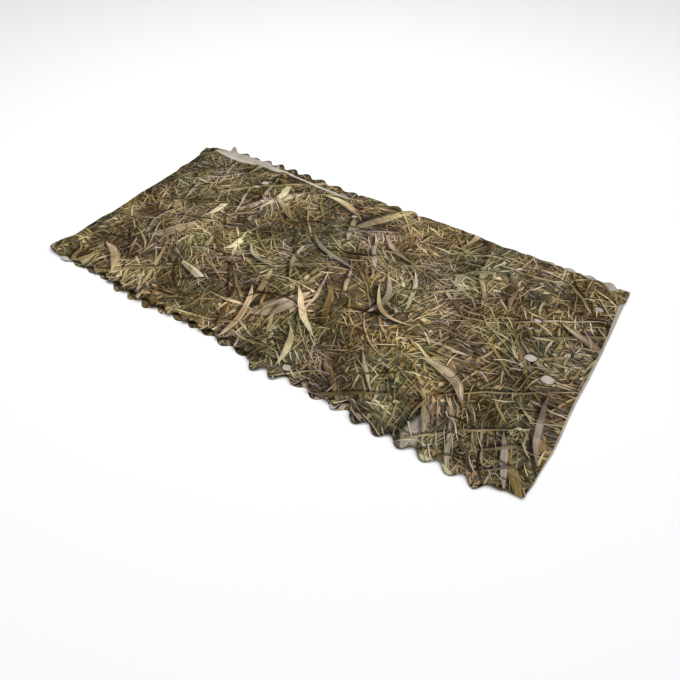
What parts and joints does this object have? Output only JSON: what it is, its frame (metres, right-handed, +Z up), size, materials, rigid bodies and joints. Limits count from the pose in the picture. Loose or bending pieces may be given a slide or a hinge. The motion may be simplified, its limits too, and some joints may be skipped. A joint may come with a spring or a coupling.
{
  "type": "camouflage net",
  "caption": "Die-cut camouflage cloth net with scalloped long edges, folded back and forth into a flat pack of three layers.",
  "frame": {"origin": "middle of the pack's underside: centre of its bounding box in x and y, at its lowest height", "axes": "+X along the pack from its folded end to the end where the top layer is cut, +Y to the edge where the under layer's scallops stick out, +Z up"},
  "size_m": [1.4592, 0.7802, 0.0152],
  "materials": {
    "printed_cloth": "matt printed non-woven cloth, pale reverse"
  },
  "bodies": {
    "root": {"net_cloth": "printed_cloth"}
  },
  "joints": []
}
